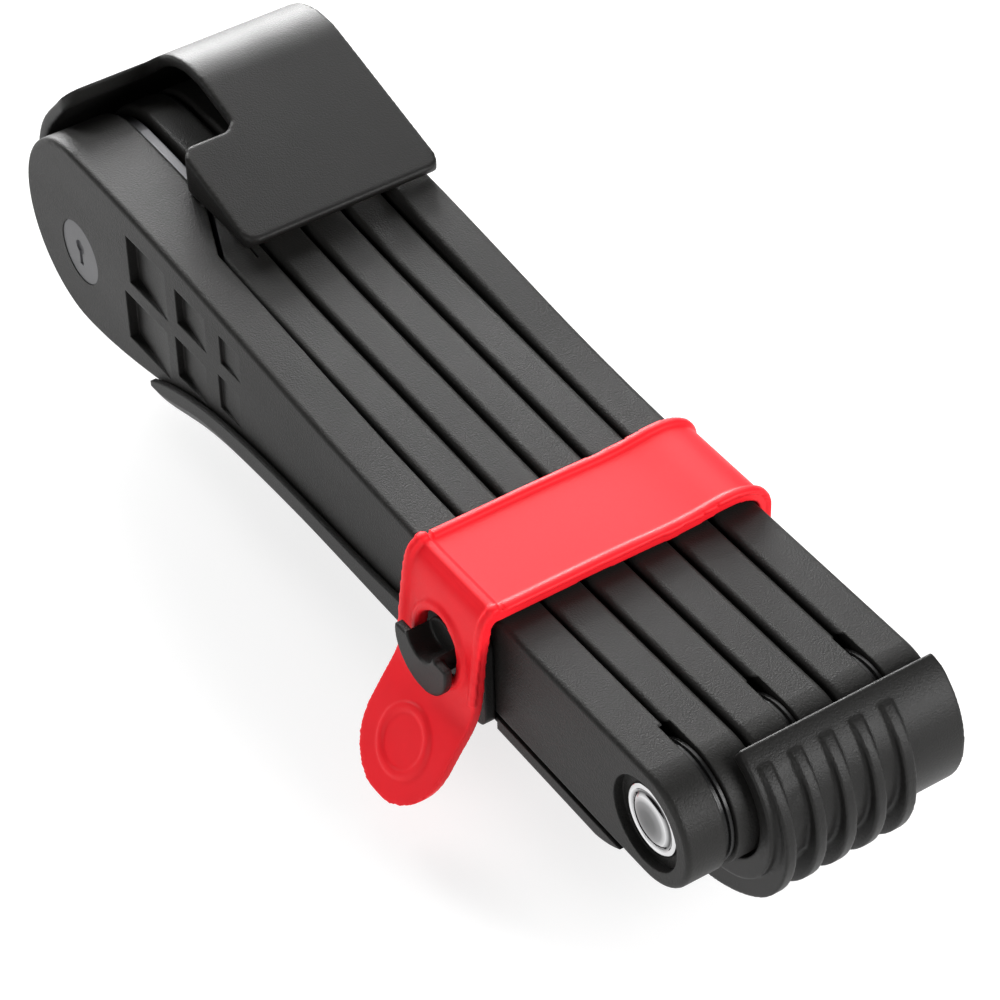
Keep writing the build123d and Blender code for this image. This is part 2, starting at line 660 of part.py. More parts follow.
for name, y, out in (
    ("rivet_cap_left", LEFT_Y + RECESS_DEPTH, -1), ("rivet_cap_right", RIGHT_Y - RECESS_DEPTH, 1),
):
    with BuildPart() as cap:
        with BuildSketch(along_y(SMALL_X, AXIS_Z)):
            with BuildLine():
                crown, rim = (0, y + out * CAP_H), (CAP_R, y + out * CAP_RIM)
                Polyline(crown, (0, y), (CAP_R, y), rim)
                Spline(
                    rim, (CAP_R * 0.6, y + out * CAP_SHOULDER), crown,
                    tangents=((-1, out * 0.6), (-1, 0)),
                )
            make_face()
        revolve(axis=Axis((SMALL_X, 0, AXIS_Z), (0, 1, 0)))
    write(cap.part, name)

# ---- the carrier's tray, with its side lip and the ear for the stud ----
STRAP_X0 = STUD_X - STRAP_HALF
STRAP_X1 = STUD_X + STRAP_HALF
UNDER = lowered(FLOOR_BOTTOM, LEFT_Y - 9, RIGHT_Y + 9)
SHELL = UNDER - lowered(FLOOR_TOP, LEFT_Y - 9, RIGHT_Y + 9)
BOLTS_X = (-BOLT_SPACING / 2, BOLT_SPACING / 2)
SCREWS_X = (-SCREW_SPACING / 2, SCREW_SPACING / 2)

with BuildPart() as lip:
    with BuildSketch(side(LEFT_Y - REST_GAP)):
        with BuildLine():
            edge = Spline(*points_from(BIG_X, AXIS_Z, LIP_TOP))
            top = (edge @ 1).Y
            Polyline(
                edge @ 1, (STUD_X + EAR_HALF, top), (STUD_X + EAR_HALF, 0), (TRAY_X0, 0), edge @ 0,
            )
        make_face()
    extrude(amount=LIP_T)

with BuildPart() as belly_cut:
    with BuildSketch(side(TRAY_Y0 - FIT)):
        with BuildLine():
            under_edge = Spline(*points_from(BIG_X, AXIS_Z, LIP_UNDER))
            Polyline(
                under_edge @ 1, ((under_edge @ 1).X, -AXIS_Z), ((under_edge @ 0).X, -AXIS_Z),
                under_edge @ 0,
            )
        make_face()
    extrude(amount=2.12 * BELLY, dir=(0, 1, -UNDERCUT))

with BuildPart() as toe_cut:
    with BuildSketch(side(TRAY_Y1 + 1)):
        with BuildLine():
            toe = Spline(*points_from(TRAY_X1, AXIS_Z, TOE))
            Polyline(toe @ 1, ((toe @ 1).X, 0), ((toe @ 0).X, 0), toe @ 0)
        make_face()
    extrude(amount=TRAY_Y1 - LEFT_Y + 4)

with BuildPart() as ear:
    with BuildSketch(side(LEFT_Y - REST_GAP)):
        with Locations((STUD_X, AXIS_Z - EAR_DROP)):
            RectangleRounded(2 * EAR_HALF, EAR_H, EAR_CORNER)
    extrude(amount=EAR_T)

with BuildPart() as carrier_tray:
    add(SHELL & block(TRAY_X0, STUD_X + EAR_HALF, TRAY_Y0, TRAY_Y1, 0, AXIS_Z - TRAY_SIDE_Z))
    add(SHELL & block(STUD_X + EAR_HALF, TRAY_X1, LEFT_Y, TRAY_Y1, 0, AXIS_Z - TRAY_SIDE_Z))
    add(SHELL & block(CRADLE_X0, TRAY_X0, CRADLE_Y0, TRAY_Y1, 0, AXIS_Z - TRAY_SIDE_Z))
    add(lip.part & UNDER)
    wall_z0, wall_z1 = (AXIS_Z + z for z in TRAY_WALL)
    add(block(TRAY_X0, TRAY_X1, RIGHT_Y + REST_GAP, TRAY_Y1, wall_z0, wall_z1) & UNDER)
    add(belly_cut.part, mode=Mode.SUBTRACT)
    add(toe_cut.part, mode=Mode.SUBTRACT)
    add(ear.part)
    add(
        block(
            STRAP_X0, STRAP_X1, RIGHT_Y - ANCHOR_FOOT, RIGHT_Y + REST_GAP - FIT, ANCHOR_Z,
            AXIS_Z - FLOOR_BOTTOM - BELLY + 1,
        )
    )
    add(
        block(
            STRAP_X0 - STRAP_SIDE_GAP, STRAP_X1 + STRAP_SIDE_GAP, RIGHT_Y + REST_GAP - FIT, FAR,
            0, 2 * AXIS_Z,
        ),
        mode=Mode.SUBTRACT,
    )
    for x in BOLTS_X:
        with Locations((x, 0, AXIS_Z)):
            Cylinder(BOLT_HEAD_R, AXIS_Z, mode=Mode.SUBTRACT)
    for x in SCREWS_X:
        with Locations((x, 0, SCREW_TOP)):
            Cylinder(
                SCREW_HEAD_R + FIT, AXIS_Z, align=(Align.CENTER, Align.CENTER, Align.MIN),
                mode=Mode.SUBTRACT,
            )
        with Locations((x, 0, SCREW_TOP)):
            Cylinder(
                SCREW_HEAD_R + FIT, SCREW_HEAD_H, align=(Align.CENTER, Align.CENTER, Align.MAX),
                mode=Mode.SUBTRACT,
            )
            Cylinder(
                SCREW_R + FIT, AXIS_Z, align=(Align.CENTER, Align.CENTER, Align.MAX),
                mode=Mode.SUBTRACT,
            )
write(carrier_tray.part, "carrier_tray")

# ---- the stud: a round post with a half-moon flange ----
with BuildPart() as strap_stud:
    add(disc(STUD_X, STUD_Z, STUD_POST_R, LEFT_Y - STUD_REACH, LEFT_Y - REST_GAP - EAR_T))
    with BuildSketch(side(LEFT_Y - STUD_REACH + STUD_FLANGE)):
        with Locations((STUD_X, STUD_Z)):
            Circle(STUD_R)
        with Locations((STUD_X, STUD_Z + STUD_R - STUD_CHORD)):
            Rectangle(
                2 * STUD_R, 2 * STUD_R, align=(Align.CENTER, Align.MIN), mode=Mode.SUBTRACT,
            )
    extrude(amount=STUD_FLANGE)
    add(
        disc(
            STUD_X, STUD_Z + SADDLE_NOTCH_UP, SADDLE_NOTCH_R, LEFT_Y - STUD_REACH - 1,
            LEFT_Y - REST_GAP - 2 * EAR_T,
        ),
        mode=Mode.SUBTRACT,
    )
write(strap_stud.part, "strap_stud")


# ---- the hood over the big ends ----
with BuildPart() as hood_room:
    with BuildSketch(side(FAR)):
        with BuildLine():
            heel_x, crest_x, far_x = (BIG_X + x for x in HOOD_OPEN_X)
            lip_z, open_z = HOOD_LIP[1] - HOOD_WALL - HOOD_TIP_R, AXIS_Z + HOOD_OPEN_Z
            Polyline(
                (heel_x, 0), (far_x, 0), (far_x, lip_z), (HOOD_LIP[0] + 1, lip_z),
                (crest_x, open_z), (heel_x, open_z), close=True,
            )
        make_face()
    extrude(amount=2 * FAR)

with BuildPart() as hood_plan:
    with BuildSketch() as hood_sketch:
        with BuildLine():
            Polyline(
                (BIG_X - 2 * BIG_R, HOOD_BACK_Y), (NOTCH_BACK, HOOD_BACK_Y), (NOTCH_BACK, NOTCH_Y),
                (NOTCH_X, NOTCH_Y), (NOTCH_X, HOOD_Y0), (HOOD_LIP[0], HOOD_Y0),
                (HOOD_LIP[0], HOOD_Y1), (BIG_X - 2 * BIG_R, HOOD_Y1), close=True,
            )
        make_face()
        fillet(hood_sketch.vertices().filter_by_position(Axis.X, NOTCH_BACK, FAR), HOOD_CORNER_R)
    extrude(amount=2 * AXIS_Z)

with BuildPart() as hood:
    add(bar(hood_outline(0), HOOD_BACK_Y, HOOD_Y1))
    add(bar(hood_outline(HOOD_WALL), HOOD_BACK_Y - 1, RIGHT_Y + REST_GAP), mode=Mode.SUBTRACT)
    add(hood_room.part, mode=Mode.SUBTRACT)
    add(
        bar(hood_outline(0), HOOD_Y0, HOOD_Y0 + FLANGE_T)
        & block(NOTCH_X, HOOD_LIP[0] - FLANGE_FRONT, -FAR, FAR, AXIS_Z + FLANGE_Z[0], FAR)
    )
    add(
        bar(hood_outline(0), HOOD_Y0, HOOD_Y1)
        & block(
            HOOD_LIP[0] - FLANGE_FRONT - FIT, HOOD_LIP[0], -FAR, FAR, AXIS_Z + FLANGE_Z[1], FAR,
        )
    )
    add(hood_plan.part, mode=Mode.INTERSECT)
write(hood.part, "hood")

# ---- the heel cup round the small ends ----
with BuildPart() as cup_band:
    with BuildSketch(side(CUP_Y1)):
        with Locations((SMALL_X - 0.3, AXIS_Z - CUP_DROP)):
            Circle(CUP_OUT_R)
        with Locations((SMALL_X, AXIS_Z)):
            Circle(CUP_IN_R, mode=Mode.SUBTRACT)
        with BuildLine():
            Polyline(*points_from(SMALL_X, AXIS_Z, CUP_SECTOR), close=True)
        make_face(mode=Mode.INTERSECT)
    extrude(amount=CUP_Y1 - CUP_Y0)

with BuildPart() as cup_face:
    with BuildSketch(Plane.YZ.offset(SMALL_X - 60)):
        with Locations(((CUP_Y0 + CUP_Y1) / 2, AXIS_Z - CUP_FACE_DROP)):
            RectangleRounded(CUP_Y1 - CUP_Y0, CUP_FACE_H, CUP_CORNER_R)
    extrude(amount=FAR)

with BuildPart() as rib:
    with BuildSketch(side(CUP_Y1)):
        with BuildLine():
            back = Spline(*points_from(SMALL_X, AXIS_Z, RIB_BACK))
            Polyline(back @ 1, *points_from(SMALL_X, AXIS_Z, (RIB_ROOT, (0, 0))), back @ 0)
        make_face()
    extrude(amount=CUP_Y1 - CUP_Y0)

with BuildPart() as heel_cup:
    add(cup_band.part & cup_face.part)
    for n in range(RIB_COUNT):
        y = RIB_FIRST + n * RIB_PITCH
        add(rib.part & block(-FAR, FAR, y - RIB_W / 2, y + RIB_W / 2, -FAR, FAR))
    add(disc(SMALL_X, AXIS_Z, CUP_IN_R, LEFT_Y, RIGHT_Y + 9), mode=Mode.SUBTRACT)
    add(UNDER & before(TRAY_X1 + FIT), mode=Mode.SUBTRACT)
    add(lowered(FLOOR_TOP, LEFT_Y - 9, RIGHT_Y + 9), mode=Mode.SUBTRACT)
write(heel_cup.part, "heel_cup")


# ---- the rubber strap ----
with BuildPart() as strap_band:
    add(ribbon(OVER_TOP, STRAP_X0, STRAP_X1))
write(strap_band.part, "strap_band")

with BuildPart() as tab_face:
    with BuildSketch(side(LEFT_Y)):
        with Locations((STUD_X, TAB_TIP_Z + TAB_END)):
            Ellipse(STRAP_HALF, TAB_END)
            Rectangle(STRAP_W, 2 * AXIS_Z, align=(Align.CENTER, Align.MIN))
        with Locations((STUD_X, HOLE_Z)):
            Ellipse(HOLE_W / 2, HOLE_H / 2, mode=Mode.SUBTRACT)
    extrude(amount=30)

with BuildPart() as tab_rim:
    with BuildSketch(side(LEFT_Y)):
        with Locations((STUD_X, HOLE_Z)):
            Ellipse(HOLE_W / 2 + RIM_W, HOLE_H / 2 + RIM_W)
            Ellipse(HOLE_W / 2, HOLE_H / 2, mode=Mode.SUBTRACT)
    extrude(amount=30)

with BuildPart() as strap_tab:
    add(ribbon(DOWN_SIDE, STRAP_X0, STRAP_X1) & tab_face.part)
    add(
        (ribbon([(y - RIM_H, z) for y, z in DOWN_SIDE], STRAP_X0, STRAP_X1) & tab_rim.part)
    )
write(strap_tab.part, "strap_tab")

with BuildPart() as strap_anchor:
    outer = OVER_TOP[0][0] + 2 * FIT
    add(
        block(
            STRAP_X0, STRAP_X1, RIGHT_Y - ANCHOR_FOOT, outer + ANCHOR_T, ANCHOR_Z - ANCHOR_T,
            ANCHOR_Z - FIT,
        )
    )
    add(block(STRAP_X0, STRAP_X1, outer, outer + ANCHOR_T, ANCHOR_Z - 1, ANCHOR_Z + ANCHOR_H))
write(strap_anchor.part, "strap_anchor")

# ---- the saddle on the bicycle frame, its pads and its screws ----
with BuildPart() as mount_saddle:
    add(
        block(-SADDLE_LEN / 2, SADDLE_LEN / 2, -SADDLE_W / 2, SADDLE_W / 2, PAD_T, AXIS_Z)
        - lowered(FLOOR_BOTTOM + FIT, LEFT_Y, RIGHT_Y)
    )
    add(
        block(-SADDLE_LEN / 2, SADDLE_LEN / 2, -SADDLE_W / 2, SADDLE_W / 2, AXIS_Z - SADDLE_SIDE_Z, FAR),
        mode=Mode.SUBTRACT,
    )
    fillet(mount_saddle.edges().filter_by(Axis.Z), radius=SADDLE_WALL)
    for x in BOLTS_X:
        with Locations((x, 0, AXIS_Z)):
            Cylinder(BOLT_R, 2 * AXIS_Z, mode=Mode.SUBTRACT)
        with Locations((x, 0, BOLT_SEAT)):
            Cylinder(
                BOLT_HEAD_R, AXIS_Z, align=(Align.CENTER, Align.CENTER, Align.MIN),
                mode=Mode.SUBTRACT,
            )
    for x in SCREWS_X:
        with Locations((x, 0, SCREW_TOP)):
            Cylinder(
                SCREW_R + FIT, SCREW_LEN + 1, align=(Align.CENTER, Align.CENTER, Align.MAX),
                mode=Mode.SUBTRACT,
            )
write(mount_saddle.part, "mount_saddle")

for name, x in zip(("mount_pad_front", "mount_pad_rear"), BOLTS_X):
    with BuildPart() as pad:
        with BuildSketch():
            with Locations((x, 0)):
                RectangleRounded(PAD_LEN, SADDLE_W, SADDLE_WALL)
                Circle(BOLT_R, mode=Mode.SUBTRACT)
        extrude(amount=PAD_T - FIT)
    write(pad.part, name)

for name, x in zip(("saddle_screw_front", "saddle_screw_rear"), SCREWS_X):
    with BuildPart() as screw:
        with Locations((x, 0, SCREW_TOP - FIT)):
            Cylinder(SCREW_HEAD_R, SCREW_HEAD_H - 2 * FIT, align=(Align.CENTER, Align.CENTER, Align.MAX))
            Cylinder(SCREW_R, SCREW_LEN, align=(Align.CENTER, Align.CENTER, Align.MAX))
            Cylinder(
                SCREW_R, SCREW_HEAD_H / 2, align=(Align.CENTER, Align.CENTER, Align.MAX),
                mode=Mode.SUBTRACT,
            )
    write(screw.part, name)
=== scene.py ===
"""Folding bike lock in its frame carrier: looks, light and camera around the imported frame."""
import json
import math

import bmesh
import bpy
from mathutils import Matrix, Vector


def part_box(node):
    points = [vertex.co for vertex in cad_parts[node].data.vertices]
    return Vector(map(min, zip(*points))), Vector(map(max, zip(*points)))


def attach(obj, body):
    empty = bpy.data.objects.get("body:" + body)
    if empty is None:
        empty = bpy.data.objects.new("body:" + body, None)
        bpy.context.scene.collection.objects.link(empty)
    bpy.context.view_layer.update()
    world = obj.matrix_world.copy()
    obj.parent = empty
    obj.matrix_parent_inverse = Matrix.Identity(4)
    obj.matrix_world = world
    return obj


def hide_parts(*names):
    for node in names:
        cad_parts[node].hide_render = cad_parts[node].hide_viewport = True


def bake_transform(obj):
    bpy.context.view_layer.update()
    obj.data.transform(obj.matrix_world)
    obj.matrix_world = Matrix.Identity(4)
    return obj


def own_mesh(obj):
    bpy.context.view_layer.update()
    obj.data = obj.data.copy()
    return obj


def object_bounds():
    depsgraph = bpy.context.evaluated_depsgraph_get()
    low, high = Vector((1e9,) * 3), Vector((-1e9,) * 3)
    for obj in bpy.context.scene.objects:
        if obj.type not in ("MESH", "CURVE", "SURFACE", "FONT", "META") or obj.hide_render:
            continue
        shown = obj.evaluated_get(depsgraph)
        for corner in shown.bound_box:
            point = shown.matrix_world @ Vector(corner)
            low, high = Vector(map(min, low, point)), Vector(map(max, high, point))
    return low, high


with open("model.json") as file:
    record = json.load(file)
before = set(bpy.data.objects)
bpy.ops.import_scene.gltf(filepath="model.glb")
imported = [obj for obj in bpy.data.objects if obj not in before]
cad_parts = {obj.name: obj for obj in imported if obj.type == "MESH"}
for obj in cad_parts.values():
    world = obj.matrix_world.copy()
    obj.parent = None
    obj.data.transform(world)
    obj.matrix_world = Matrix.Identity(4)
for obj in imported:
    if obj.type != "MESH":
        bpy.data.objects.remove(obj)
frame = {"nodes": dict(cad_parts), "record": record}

CAD_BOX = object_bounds()
MM = 0.001

# ---- camera ----
CAMERA_AT = (0.424994, -0.266896, 0.475539)
CAMERA_RIGHT = (0.557618, 0.829835, -0.020872)
CAMERA_UP = (-0.54736, 0.386476, 0.742316)
CAMERA_BACK = (0.624067, -0.402504, 0.669725)
CAMERA_LENS = 136.92

camera_data = bpy.data.cameras.new("camera")
camera_data.lens = CAMERA_LENS
camera_data.sensor_width = 36.0
camera_data.clip_start, camera_data.clip_end = 0.01, 50.0
camera = bpy.data.objects.new("camera", camera_data)
turn = Matrix((CAMERA_RIGHT, CAMERA_UP, CAMERA_BACK)).transposed()
camera.matrix_world = Matrix.Translation(CAMERA_AT) @ turn.to_4x4()
bpy.context.collection.objects.link(camera)
bpy.context.scene.camera = camera

# ---- places, from the frame ----
TAB_LOW, TAB_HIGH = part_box("strap_tab")
BAND_LOW, BAND_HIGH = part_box("strap_band")
CAP_LOW, CAP_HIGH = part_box("rivet_cap_left")
STRAP_MID = (TAB_LOW.x + TAB_HIGH.x) / 2
STRAP_HALF = (TAB_HIGH.x - TAB_LOW.x) / 2
AXIS = Vector(((CAP_LOW.x + CAP_HIGH.x) / 2, 0.0, (CAP_LOW.z + CAP_HIGH.z) / 2))
LEFT_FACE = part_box("link_1_sheath")[0].y
CAP_R = (CAP_HIGH.x - CAP_LOW.x) / 2


# ---- materials ----
class Nodes:
    """A material's node tree, with short calls for the nodes that the finishes share."""

    def __init__(self, name):
        self.material = bpy.data.materials.new(name)
        self.material.use_nodes = True
        self.tree = self.material.node_tree
        self.shader = self.tree.nodes["Principled BSDF"]
        self.place = self.tree.nodes.new("ShaderNodeTexCoord").outputs["Object"]

    def node(self, kind, **sockets):
        made = self.tree.nodes.new(kind)
        for key, value in sockets.items():
            self.put(made.inputs[key.replace("_", " ")], value)
        return made

    def put(self, socket, value):
        if isinstance(value, bpy.types.NodeSocket):
            self.tree.links.new(value, socket)
        else:
            socket.default_value = value

    def noise(self, scale, detail=3.0, rough=0.6, stretch=(1, 1, 1)):
        spread = self.node("ShaderNodeMapping", Vector=self.place, Scale=stretch)
        made = self.node(
            "ShaderNodeTexNoise", Vector=spread.outputs[0], Scale=scale, Detail=detail,
            Roughness=rough,
        )
        return made.outputs["Fac"]

    def spread(self, value, low, high, start=0.3, end=0.7):
        """A 0 to 1 texture value turned into a range."""
        made = self.node(
            "ShaderNodeMapRange", Value=value, From_Min=start, From_Max=end, To_Min=low, To_Max=high,
        )
        return made.outputs[0]

    def ramp(self, value, low, high, start=0.3, end=0.7):
        """A 0 to 1 texture value turned into a colour between two."""
        made = self.tree.nodes.new("ShaderNodeValToRGB")
        self.put(made.inputs[0], value)
        points = made.color_ramp.elements
        points[0].position, points[1].position = start, end
        points[0].color, points[1].color = (*low, 1), (*high, 1)
        return made.outputs[0]

    def mix(self, factor, a, b):
        made = self.tree.nodes.new("ShaderNodeMix")
        made.data_type = "RGBA"
        self.put(made.inputs[0], factor)
        self.put(made.inputs[6], a)
        self.put(made.inputs[7], b)
        return made.outputs[2]

    def bump(self, layers, edge=None):
        """Bumps stacked on each other, each (height, distance, strength), over softened edges."""
        normal = None
        if edge:
            soft = self.tree.nodes.new("ShaderNodeBevel")
            soft.samples = 6
            soft.inputs["Radius"].default_value = edge
            normal = soft.outputs[0]
        for height, distance, strength in layers:
            made = self.node(
                "ShaderNodeBump", Height=height, Distance=distance, Strength=strength,
            )
            if normal:
                self.put(made.inputs["Normal"], normal)
            normal = made.outputs[0]
        self.put(self.shader.inputs["Normal"], normal)

    def set(self, **sockets):
        for key, value in sockets.items():
            self.put(self.shader.inputs[key.replace("_", " ")], value)


def shade(colour, k):
    """A colour made lighter or darker."""
    return tuple(min(1.0, c * k) for c in colour)


def plastic(name, colour, rough, grain, edge, relief=0.5):
    """Moulded plastic: spark-eroded grain, faint flow marks, and edges rounded in the shading."""
    n = Nodes(name)
    fine = n.noise(grain, 2.0, 0.55)
    cloud = n.noise(38.0, 4.0, 0.6)
    flow = n.noise(14.0, 3.0, 0.5, (1.0, 3.0, 3.0))
    base = n.mix(n.spread(cloud, 0.0, 1.0), (*shade(colour, 0.9), 1), (*shade(colour, 1.12), 1))
    base = n.mix(n.spread(fine, 0.0, 0.35, 0.5, 0.75), base, (*shade(colour, 1.7), 1))
    n.set(Base_Color=base)
    n.set(Roughness=n.spread(n.mix(0.5, fine, flow), rough - 0.07, rough + 0.08))
    n.shader.inputs["Specular IOR Level"].default_value = 0.22
    n.bump([(flow, 0.3 * MM, 0.06), (fine, 0.12 * MM, relief)], edge)
    return n.material


def silicone(name, colour):
    """Soft satin silicone: even colour, a slight bloom and fine pores."""
    n = Nodes(name)
    cloud = n.noise(60.0, 4.0, 0.6)
    pores = n.noise(2600.0, 2.0, 0.5)
    n.set(Base_Color=n.mix(
        n.spread(cloud, 0.0, 1.0), (*shade(colour, 0.93), 1), (*shade(colour, 1.05), 1)
    ))
    n.set(Roughness=n.spread(n.mix(0.4, pores, cloud), 0.40, 0.55))
    n.shader.inputs["Specular IOR Level"].default_value = 0.16
    n.shader.inputs["Subsurface Weight"].default_value = 0.08
    n.shader.inputs["Subsurface Radius"].default_value = (1.0 * MM, 0.3 * MM, 0.2 * MM)
    n.shader.inputs["Subsurface Scale"].default_value = 1.0
    n.bump([(cloud, 0.3 * MM, 0.05), (pores, 0.06 * MM, 0.25)])
    return n.material


def metal(name, colour, rough, stretch, edge, scratch=0.3):
    """Worked metal: tool marks along one direction, stains, and bright rubbed patches."""
    n = Nodes(name)
    marks = n.noise(900.0, 3.0, 0.7, stretch)
    stain = n.noise(70.0, 5.0, 0.65)
    n.shader.inputs["Metallic"].default_value = 1.0
    base = n.ramp(stain, shade(colour, 0.75), shade(colour, 1.1))
    n.set(Base_Color=n.mix(n.spread(marks, 0.0, 0.4), base, (*shade(colour, 1.3), 1)))
    n.set(Roughness=n.spread(n.mix(0.5, marks, stain), rough * 0.75, rough * 1.3))
    n.bump([(marks, 0.05 * MM, scratch)], edge)
    return n.material


def chrome_with_painted_reflection(name, colour, radius):
    """Polished chrome with its reflections painted into the colour: painted highlights on the outer
    ring's crest and the dome's shoulder, painted shade in the ring's groove, and a dark painted
    reflection that makes the dome look deeper.
    """
    n = Nodes(name)
    away = n.node("ShaderNodeVectorMath", Vector=n.place)
    away.operation = "SUBTRACT"
    away.inputs[1].default_value = AXIS
    flat = n.node("ShaderNodeVectorMath")
    flat.operation = "MULTIPLY"
    n.put(flat.inputs[0], away.outputs[0])
    flat.inputs[1].default_value = (1.0 / radius, 0.0, 1.0 / radius)
    length = n.node("ShaderNodeVectorMath")
    length.operation = "LENGTH"
    n.put(length.inputs[0], flat.outputs[0])
    smear = n.noise(500.0, 3.0, 0.6)
    n.shader.inputs["Metallic"].default_value = 1.0
    # colour bands by distance from the axis: painted reflection, highlight and shade, not the metal's
    # own colour
    rings = n.tree.nodes.new("ShaderNodeValToRGB")
    n.put(rings.inputs[0], length.outputs["Value"])
    # the dark centre is painted reflection and the dark band over the groove is painted shade; the
    # bright bands on the dome's shoulder and the ring's crest are painted highlights
    for at, k in ((0.30, 0.16), (0.52, 0.30), (0.66, 0.75), (0.76, 0.06), (0.86, 0.9)):
        stop = rings.color_ramp.elements.new(at)
        stop.color = (*shade(colour, k), 1)
    rings.color_ramp.elements[0].color = (*shade(colour, 0.12), 1)
    rings.color_ramp.elements[-1].color = (*shade(colour, 0.7), 1)
    n.set(Base_Color=rings.outputs[0], Roughness=n.spread(smear, 0.05, 0.14))
    n.bump([(smear, 0.02 * MM, 0.05)])
    return n.material


def tread(name, colour):
    """Dusty black rubber."""
    n = Nodes(name)
    dust = n.noise(120.0, 5.0, 0.7)
    pores = n.noise(1800.0, 2.0, 0.5)
    n.set(Base_Color=n.ramp(dust, shade(colour, 0.8), shade(colour, 1.6), 0.4, 0.8))
    n.set(Roughness=n.spread(pores, 0.75, 0.92))
    n.bump([(pores, 0.1 * MM, 0.5)], 0.4 * MM)
    return n.material


CHARCOAL = (0.0125, 0.0121, 0.0114)
INK = (0.0105, 0.0102, 0.0097)
RED = (0.93, 0.016, 0.026)
NOTCH_SHADE_STEEL = (0.105, 0.105, 0.11)   # nearly black: painted shade for the cores seen inside the hood's notch
ALONG_X = (0.04, 1.0, 1.0)
FINISHES = {
    "sheath": plastic("sheath plastic", CHARCOAL, 0.50, 2900.0, 0.45 * MM, 0.75),
    "carrier": plastic("carrier plastic", INK, 0.46, 3200.0, 0.6 * MM, 0.55),
    "strap_silicone": silicone("red silicone", RED),
    "pad_rubber": tread("pad rubber", (0.02, 0.02, 0.02)),
    # the cores' steel is darkened to nearly black as painted shade for the hood's notch
    "hardened_steel": metal("ground steel darkened as painted shade", NOTCH_SHADE_STEEL, 0.34, ALONG_X, 0.3 * MM),
    "rivet_steel": metal("turned steel", (0.52, 0.52, 0.52), 0.28, (1, 0.05, 1), 0.2 * MM),
    "washer_nylon": plastic("washer nylon", (0.012, 0.012, 0.012), 0.3, 2600.0, 0.15 * MM, 0.1),
    # the rivet caps' chrome carries painted reflection rings: painted highlights and painted shade in
    # its colour
    "cap_chrome": chrome_with_painted_reflection("chrome with painted reflection rings", (0.85, 0.85, 0.86), CAP_R),
    "housing": metal("cast zinc", (0.24, 0.24, 0.25), 0.55, (1, 1, 1), 0.4 * MM, 0.6),
    "cylinder_brass": metal("turned brass", (0.72, 0.55, 0.28), 0.3, ALONG_X, 0.2 * MM),
    "badge": plastic("grey inlay", (0.10, 0.10, 0.105), 0.38, 4200.0, 0.25 * MM, 0.2),
}
SLOTS = {s["node"]: s["material_slot"] for s in frame["record"]["subparts"]}


def finish_with(obj, slot):
    """Gives a piece the material of a slot."""
    obj.data.materials.clear()
    obj.data.materials.append(FINISHES[slot])


for name, node in frame["nodes"].items():
    finish_with(node, SLOTS[name])


# ---- pieces ----
def new_piece(name, mesh, slot, body):
    """An object from a mesh in the row frame, riding on a body (None for a blended piece)."""
    obj = bpy.data.objects.new(name, mesh)
    bpy.context.collection.objects.link(obj)
    finish_with(obj, slot)
    if body:
        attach(obj, body)
    return obj


def moulded(name, nodes, voxel, rounds, extra=()):
    """One smooth-edged mesh of several CAD nodes: voxel remesh, then its edges relaxed."""
    shape = bmesh.new()
    for node in nodes:
        shape.from_mesh(frame["nodes"][node].data)
    for add in extra:
        add(shape)
    mesh = bpy.data.meshes.new(name)
    shape.to_mesh(mesh)
    shape.free()
    obj = bpy.data.objects.new(name, mesh)
    bpy.context.collection.objects.link(obj)
    remesh = obj.modifiers.new("remesh", "REMESH")
    remesh.mode = "VOXEL"
    remesh.voxel_size = voxel
    relax = obj.modifiers.new("relax", "SMOOTH")
    relax.factor, relax.iterations = 0.5, rounds
    graph = bpy.context.evaluated_depsgraph_get()
    result = bpy.data.meshes.new_from_object(obj.evaluated_get(graph))
    bpy.data.objects.remove(obj)
    result.polygons.foreach_set("use_smooth", [True] * len(result.polygons))
    result.name = name
    return result


def box_shape(low, high):
    """Adds a closed box to a bmesh."""
    def add(shape):
        low_, high_ = Vector(low), Vector(high)
        made = bmesh.ops.create_cube(shape, size=1.0)
        for v in made["verts"]:
            v.co = Vector(
                (low_[i] + high_[i]) / 2 + v.co[i] * (high_[i] - low_[i]) for i in range(3)
            )
    return add


def step(value, start, end):
    """0 before start, 1 after end, smooth between."""
    t = min(1.0, max(0.0, (value - start) / (end - start)))
    return t * t * (3 - 2 * t)


# the strap is one continuous silicone moulding, with beads along its edges and a boss on its tab
BEAD_W, BEAD_H = 2.0 * MM, 0.75 * MM
BOSS_R, BOSS_H = 7.0 * MM, 0.45 * MM
BOSS_UP = 9.4 * MM           # the boss's centre above the tab's tip
BOSS_EDGE = 0.9 * MM         # width of the slopes round the boss's ring
BOSS_RING = 1.5 * MM         # width of the ring
BOSS_SINK = 0.9              # how far the middle sinks back, as a share of the ring's height
TAB_SLANT = 1.19             # length along the leaning tab, per unit of height
STRAP_VOXEL, STRAP_ROUNDS = 0.32 * MM, 8
BRIDGE_LAP, BRIDGE_T = 0.8 * MM, 1.9 * MM    # the bridge that joins the CAD's band and tab
FACING = 0.25                # a surface faces a way when its normal has at least this much of it
BEAD_BELOW = 4 * MM          # the beads run on to this far below the rivets' axis
joint_top = BAND_HIGH.z
bridge = box_shape(
    (TAB_LOW.x, TAB_HIGH.y - BRIDGE_LAP, joint_top - BRIDGE_T),
    (TAB_HIGH.x, BAND_LOW.y + BRIDGE_LAP, joint_top),
)
strap_mesh = moulded("strap", ["strap_band", "strap_tab"], STRAP_VOXEL, STRAP_ROUNDS, [bridge])
strap_mesh.update()
moves = []
